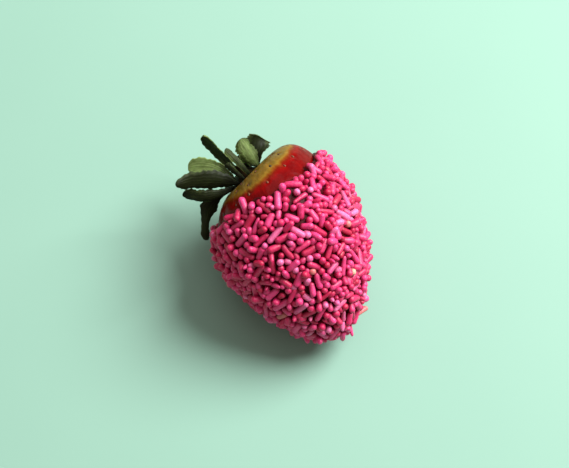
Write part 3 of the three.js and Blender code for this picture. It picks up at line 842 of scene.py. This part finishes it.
def dropped_sprinkles():
    draw = random_draw(RANDOM_SEED)
    polars = equal_area_polars()
    most = len(STANDING_OUT) + CAD_LIKE_TRIES + sum(stage["tries"] for stage in FILLING)
    pile = Pile(most, drooping_leaf_rods())
    drop_standing(pile)
    drop_like_cad(pile, draw, polars)
    for stage in FILLING:
        drop_filling(pile, stage, draw, polars)
    return pile.rods()


def rod_profile(reach):
    """(place along the rod, share of the radius) of each ring of a rod with round ends."""
    cap = math.pi / 2 * (np.arange(CAP_RINGS) + CAP_FIRST) / CAP_SPACINGS
    ends = reach + SPRINKLE_RADIUS * np.cos(cap)
    middle = np.linspace(-reach, reach, BODY_RINGS)
    places = np.concatenate([-ends, middle, ends[::-1]])
    end_sizes = np.sin(cap) ** CAP_BLUNTNESS
    sizes = np.concatenate([end_sizes, np.ones(BODY_RINGS), end_sizes[::-1]])
    return places, sizes


def sprinkle_shape(rod, draw):
    """Points and faces of one sprinkle: a rod with round ends, a little bent, uneven or tapered."""
    any_way = (0.3, 0.5, 0.8)
    centre, way, reach = rod[:3]
    side = unit(np.cross(way, any_way))
    turn = draw.uniform(0, TURN)
    bend_way = side * math.cos(turn) + np.cross(way, side) * math.sin(turn)
    places, sizes = rod_profile(reach)
    tip = reach + SPRINKLE_RADIUS
    taper = draw.uniform(*TAPER) if draw.random() < TAPERED_SHARE else 0
    radius = SPRINKLE_RADIUS * draw.uniform(1 - RADIUS_SWING, 1 + RADIUS_SWING)
    uneven = draw.uniform(1 - RING_SWING, 1 + RING_SWING, len(places))
    widths = radius * sizes * (1 - taper * (places / tip + 1) / 2) * uneven
    bend = draw.uniform(0, MOST_BEND) * min(1, reach / FULL_BEND_REACH) * bend_way
    line = centre + places[:, None] * way + (BEND_BASE - (places / tip) ** 2)[:, None] * bend
    clock = TURN * np.arange(ROD_SIDES) / ROD_SIDES
    spokes = np.stack([np.cos(clock), draw.uniform(*FLATNESS_SPAN) * np.sin(clock)], -1)
    spokes = spokes @ np.stack([bend_way, np.cross(way, bend_way)])
    rings = line[:, None, :] + widths[:, None, None] * spokes[None, :, :]
    middle_of_ends = centre + (BEND_BASE - 1) * bend
    return closed_surface(middle_of_ends - tip * way, rings, middle_of_ends + tip * way)


def height_shares(rod, points):
    """Each point's height above the chocolate, as a share of the sprinkles' layer. It sets how much
    painted shade darkens the point.
    """
    centre, _, _, up, height = rod
    return np.clip((height + (points - centre) @ up - COAT_TOP) / LAYER_HEIGHT, 0, 1)


def add_sprinkles():
    """One piece for each tint, shared out at random over all the sprinkles."""
    draw = np.random.default_rng(RANDOM_SEED)
    rods = dropped_sprinkles()
    tints = draw.choice(len(TINTS), len(rods), p=[share for _, share, _, _ in TINTS])
    shapes = [sprinkle_shape(rod, draw) for rod in rods]
    tones = draw.uniform(0, 1, len(rods))
    for tint, (name, _, deep, bright) in enumerate(TINTS):
        chosen = np.flatnonzero(tints == tint)
        points, faces = joined([shapes[i] for i in chosen])
        tone = np.repeat(tones[chosen], [len(shapes[i][0]) for i in chosen])
        height = np.concatenate([height_shares(rods[i], shapes[i][0]) for i in chosen])
        values = dict(tone=tone, height=height)
        material = sprinkle_material(name, deep, bright)
        add_piece(name, points, faces, material, "pink_sprinkle", "sprinkled_coat", **values)


# ----------------------------------------
# The crown. Its frame has the stem along +Z, with +X towards the berry's top and +Y to its +Y side

LEAF_STATIONS = 56
STATIONS_TO_TIP = 1.6  # above 1, the stations lie closer together towards the tip
LEAF_STRIPS = 20
# How light each leaf is all over, and by how much more at its rims and along its middle line. All of it
# is painted light: a leaf that lies in the light is painted lighter and one in shade darker, the rims
# carry painted highlights, and the middle lines are painted lighter on some leaves and darker on one.
LEAF_PAINTED_LIGHT = [
    (0.3, 0.3, 0),
    (0.72, 0.25, 0.1),
    (0, 0.15, 0),
    (0.08, 0.3, 0),
    (0.02, 0.28, 0.05),
    (0.1, 0.3, 0),
    (0.35, 0.55, -0.1),
    (0.17, 0.3, 0.4),
    (0.36, 0.3, 0),
    (0.1, 0.2, 0),
    (0.5, 0.35, 0),
]
UNDERSIDE_LIGHTER = 0.24
# Painted shade: each leaf is painted darker towards its root, near the hub, where the leaves crowd
# together.
PAINTED_ROOT_SHADE = 0.4
VEINS = 7
VEIN_DEPTH = 0.07
VEINS_FADE_BELOW = 1.2  # half width
VEIN_STREAKS_ALONG = 0.25  # the lower these two are, the longer and wider the veins' streaks
VEIN_STREAKS_ACROSS = 4
FACE_SHIFT = 3  # each leaf and each of its faces has streaks of its own
LEAF_SHIFT = 7
TOOTH_SIZE = 0.05  # of the half width
TEETH = [(5, 2), (11, 1)]  # (waves along the leaf, how fast they shift from leaf to leaf)
RIM_SHARPNESS = 6  # a power: the higher it is, the thinner the rim that is rounded and paler
ROOT_REACH = 1.5  # how far a leaf's root runs on into the disc


def crown_to_berry(points):
    slope = math.atan(LEAF_END_SLOPE)
    stem = np.array([-math.cos(slope), -math.sin(slope), 0])
    top = np.array([0, 0, 1])
    return np.asarray(points) @ np.stack([top, np.cross(stem, top), stem])


def leaf_to_crown(leaf, points):
    turned = np.array(Matrix.Rotation(math.radians(leaf.at), 3, "Z"))
    return (np.asarray(points) + (LEAF_ROOT, 0, LEAF_LEVEL)) @ turned.T


def spine_of(leaf, share):
    """Points on a leaf's middle line, in the frame of a leaf that sets off along +X."""
    out, aside, up = leaf.tip
    bow_out, bow_up = leaf.bow
    bowed = 4 * share * (1 - share)
    return np.stack([out * share + bow_out * bowed, aside * share, up * share + bow_up * bowed], -1)


def drooping_leaf_rods():
    pieces = 6
    spine = spine_of(DROOPING_LEAF, np.arange(pieces + 1) / pieces)
    line = crown_to_berry(leaf_to_crown(DROOPING_LEAF, spine))
    along = np.diff(line, axis=0)
    return line[:-1] + along / 2, unit(along), np.linalg.norm(along, axis=1) / 2


def half_width_at(share, widths):
    stops = np.array([LEAF_ROOT_WIDTH, *widths])
    part = np.minimum(np.floor(share * len(widths)).astype(int), len(widths) - 1)
    blend = smoothstep(share * len(widths) - part, 0, 1)
    rounded_off = np.clip((share - 1) / LEAF_TIP + 1, 0, 1)
    return (stops[part] + (stops[part + 1] - stops[part]) * blend) / 2 * np.sqrt(1 - rounded_off**2)


def leaf_directions(leaf, share):
    """At each station of a leaf: on along its middle line, across the blade, and out of its face."""
    step = 0.01
    forward = unit(spine_of(leaf, share + step) - spine_of(leaf, share))
    turned = np.radians(leaf.roll[0] + (leaf.roll[1] - leaf.roll[0]) * share)[:, None]
    level = unit(np.cross(forward, (0, 1, 0)))
    face = level * np.cos(turned) + np.cross(forward, level) * np.sin(turned)
    return forward, np.cross(face, forward), face


def toothed_half_widths(leaf, share, phase):
    teeth = sum(np.sin(TURN * waves * share + shift * phase) for waves, shift in TEETH)
    return half_width_at(share, leaf.widths) * (1 + TOOTH_SIZE * teeth)


def blade_heights(leaf, share, half, loop, is_top, phase):
    """How far the leaf's skin stands out from its flat blade: its cup, ripples, thickness and veins."""
    ripple = LEAF_RIPPLE * np.sin(TURN * LEAF_RIPPLES * share + phase)[:, None] * loop
    bent = half[:, None] * (leaf.cup * loop**2 + ripple * np.abs(loop))
    fading = np.minimum(1, half / VEINS_FADE_BELOW)[:, None]
    veins = VEIN_DEPTH * np.cos(TURN * VEINS / 2 * loop) * fading
    rounding = np.sqrt(np.maximum(0, 1 - np.abs(loop) ** RIM_SHARPNESS))
    return bent + is_top * rounding * LEAF_THICKNESS / 2 + veins


def leaf_shape(leaf, phase):
    """Points and faces of a thin leaf, and each point's place on it: (share of length, side, face)."""
    share = 1 - (1 - np.arange(LEAF_STATIONS) / LEAF_STATIONS) ** STATIONS_TO_TIP
    forward, across, face = leaf_directions(leaf, share)
    half = toothed_half_widths(leaf, share, phase)
    side = np.linspace(-1, 1, LEAF_STRIPS + 1)
    loop = np.concatenate([side, side[::-1]])
    is_top = np.repeat([1, -1], len(side))
    height = blade_heights(leaf, share, half, loop, is_top, phase)
    spine = spine_of(leaf, share)
    flat = spine[:, None] + across[:, None] * (half[:, None] * loop)[..., None]
    rings = flat + face[:, None] * height[..., None]
    root = rings[0].mean(0) - forward[0] * ROOT_REACH
    points, faces = closed_surface(root, rings, spine_of(leaf, np.array(1.0)))
    places = np.stack(np.broadcast_arrays(share[:, None], loop, is_top), -1).reshape(-1, 3)
    return points, faces, np.concatenate([places, [[0, 0, 1], [1, 0, 1]]])


def add_leaf(number, leaf, material):
    points, faces, places = leaf_shape(leaf, number)
    share, side, is_top = places.T
    # Painted light: each leaf's overall lightness, its rims and its middle line stand for how light
    # falls on it, and its root is painted darker as shade near the hub. Only the paler underside is the
    # leaf's own colour.
    plain, rim, middle = LEAF_PAINTED_LIGHT[number]
    light = plain + rim * np.abs(side) ** RIM_SHARPNESS + middle * (1 - side**2)
    light += UNDERSIDE_LIGHTER * (is_top < 0) - PAINTED_ROOT_SHADE * (1 - share) ** 3
    along = share * np.linalg.norm(leaf.tip) * VEIN_STREAKS_ALONG
    shift = is_top * FACE_SHIFT + number * LEAF_SHIFT
    vein_place = np.stack([along, side * VEIN_STREAKS_ACROSS, shift], -1)
    name = f"leaf_{number + 1:02d}"
    placed = crown_to_berry(leaf_to_crown(leaf, points))
    add_piece(name + "_blade", placed, faces, material, "leaf", name, light=light, vein_place=vein_place)


HUB_SIDES = 48
HUB_SINK = 0.3  # how much closer to the fruit its underside is than the CAD's
HUB_UNDERSIDE = (0.4, 1.2, 2, 2.8, 3.8)  # radii of its rings
HUB_RIM = [(3.95, -0.15), (3.6, 0.1), (2.7, 0.5)]  # (radius, level above the rim)
STEM_FOOT = [(1.7, -0.1), (1.25, 0.25)]  # (share of the stem's radius, level above the disc)
STEM_SIDE = [(1, 0.38), (0.95, 0.56), (0.9, 0.74)]  # (share of its radius, share of its length)
STEM_END = [(1, -0.2), (0.94, 0), (0.6, -0.12)]  # (share of its radius, level above its top)
STEM_HOLLOW = 0.15  # of its end
HUB_RIBS = [(0.05, 9, 0), (0.03, 5, 1)]  # (share of the radius, ribs, start)
STEM_STREAKS_ROUND = 5  # the higher these two are, the finer the stem's streaks
STEM_STREAKS_ALONG = 0.4


def hub_profile():
    """(radius, level) of each ring, from the middle of the underside to the middle of the stem's end."""
    rim = DISC_THICKNESS - dimple_depth(DISC_RADIUS)
    stem_top = DISC_THICKNESS + STEM_LENGTH
    profile = [(radius, DISC_GAP - HUB_SINK - dimple_depth(radius)) for radius in HUB_UNDERSIDE]
    profile += [(radius, rim + level) for radius, level in HUB_RIM]
    profile += [(STEM_RADIUS * share, DISC_THICKNESS + level) for share, level in STEM_FOOT]
    profile += [(STEM_RADIUS * share, DISC_THICKNESS + STEM_LENGTH * up) for share, up in STEM_SIDE]
    profile += [(STEM_RADIUS * share, stem_top + level) for share, level in STEM_END]
    return np.array(profile).T


def add_hub(material):
    """The disc that the leaves grow from, and the stub of stem on it."""
    radius, level = hub_profile()
    clock = TURN * np.arange(HUB_SIDES) / HUB_SIDES
    ribs = 1 + sum(size * np.sin(count * clock + start) for size, count, start in HUB_RIBS)
    spread = radius[:, None] * ribs
    levels = np.repeat(level[:, None], HUB_SIDES, 1)
    rings = np.stack([spread * np.cos(clock), spread * np.sin(clock), levels], -1)
    end = DISC_THICKNESS + STEM_LENGTH - STEM_HOLLOW
    points, faces = closed_surface((0, 0, level[0]), rings, (0, 0, end))
    around = np.arctan2(points[:, 1], points[:, 0])
    round_place = STEM_STREAKS_ROUND * np.stack([np.cos(around), np.sin(around)])
    streaks = np.stack([*round_place, STEM_STREAKS_ALONG * points[:, 2]], -1)
    add_piece("hub", crown_to_berry(points), faces, material, "stem", "crown_disc", streak_place=streaks)


# ----------------------------------------
# The floor, the light and the camera

AZIMUTH = math.radians(57.5)
ELEVATION = math.radians(66)
CAMERA_DISTANCE = 0.315  # metres
SENSOR_WIDTH = 36  # millimetres
IMAGE_WIDTH, IMAGE_HEIGHT = 569, 468
PIXELS_PER_METRE = 4190  # at the crown
CROWN_PIXEL = (245.5, 172.5)
CLOSEST_SEEN = 0.01  # metres
FLOOR_SIZE = 4  # metres
FLOOR_CLOUDS = 60  # millimetres
SKY_COLOUR = (1, 0.86, 0.8, 1)
SKY_STRENGTH = 0.34


def view_axes():
    """The camera's right, up and back directions for the angle that it looks from."""
    right = Vector((math.cos(AZIMUTH), math.sin(AZIMUTH), 0))
    level_share = math.sin(ELEVATION)
    up_x = -math.sin(AZIMUTH) * level_share
    up_y = math.cos(AZIMUTH) * level_share
    up = Vector((up_x, up_y, math.cos(ELEVATION)))
    return right, up, right.cross(up)


def add_camera():
    """A camera that looks so that the middle of the crown lands on its pixel."""
    right, up, back = view_axes()
    low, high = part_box("crown_disc")
    crown = (low + high) / 2
    place = crown + back * CAMERA_DISTANCE
    right_of_crown = (IMAGE_WIDTH / 2 - CROWN_PIXEL[0]) / PIXELS_PER_METRE
    below_crown = (IMAGE_HEIGHT / 2 - CROWN_PIXEL[1]) / PIXELS_PER_METRE
    aim = crown + right * right_of_crown - up * below_crown
    away = (place - aim).normalized()
    side = up.cross(away).normalized()
    data = bpy.data.cameras.new("camera")
    data.sensor_width = SENSOR_WIDTH
    data.lens = SENSOR_WIDTH * PIXELS_PER_METRE * CAMERA_DISTANCE / IMAGE_WIDTH
    data.clip_start = CLOSEST_SEEN
    camera = bpy.data.objects.new("camera", data)
    camera.matrix_world = Matrix((side, away.cross(side), away)).transposed().to_4x4()
    camera.location = place
    bpy.context.scene.collection.objects.link(camera)
    bpy.context.scene.camera = camera


def add_light(name, aside, upward, elevation, distance, size, power):
    """A round soft light. Its way is aside and upward in the picture, and so many degrees above the
    floor. Its distance and size are in metres and its power in watts."""
    right, up, _ = view_axes()
    level = (right * aside + Vector((up.x, up.y, 0)).normalized() * upward).normalized()
    height = math.radians(elevation)
    data = bpy.data.lights.new(name, "AREA")
    data.shape = "DISK"
    data.size = size
    data.energy = power
    light = bpy.data.objects.new(name, data)
    light.location = (level * math.cos(height) + Vector((0, 0, math.sin(height)))) * distance
    light.rotation_euler = light.location.to_track_quat("Z", "Y").to_euler()
    bpy.context.scene.collection.objects.link(light)


def add_floor():
    shader = Shader("floor", roughness=0.6, specular_ior_level=0.2)
    clouds = shader.noise(shader.place(), FLOOR_CLOUDS, detail=2)
    shader.link(shader.ramp(clouds, FLOOR_COLOURS), "Base Color")
    mesh = bpy.data.meshes.new("floor")
    half = FLOOR_SIZE / 2
    corners = [(-half, -half, 0), (half, -half, 0), (half, half, 0), (-half, half, 0)]
    mesh.from_pydata(corners, [], [(0, 1, 2, 3)])
    mesh.materials.append(shader.material)
    floor = bpy.data.objects.new("floor", mesh)
    bpy.context.scene.collection.objects.link(floor)


def light_scene():
    add_light("window", aside=1, upward=0.6, elevation=48, distance=0.9, size=0.6, power=18.5)
    add_light("room", aside=-0.3, upward=1, elevation=60, distance=0.8, size=0.6, power=0.8)
    world = bpy.data.worlds.new("world")
    world.use_nodes = True
    sky = world.node_tree.nodes["Background"]
    sky.inputs["Color"].default_value = SKY_COLOUR
    sky.inputs["Strength"].default_value = SKY_STRENGTH
    bpy.context.scene.world = world
    bpy.context.scene.view_settings.view_transform = "Standard"


def build():
    add_camera()
    light_scene()
    add_floor()
    draw = np.random.default_rng(SEEDS_RANDOM_SEED)
    seeds = seed_places(draw)
    add_skin(seeds, skin_material())
    add_seeds(seeds, seed_material(), draw)
    add_shell(chocolate_material())
    add_sprinkles()
    leaf = leaf_material()
    for number, shape in enumerate(LEAVES):
        add_leaf(number, shape, leaf)
    add_hub(stem_material())


build()
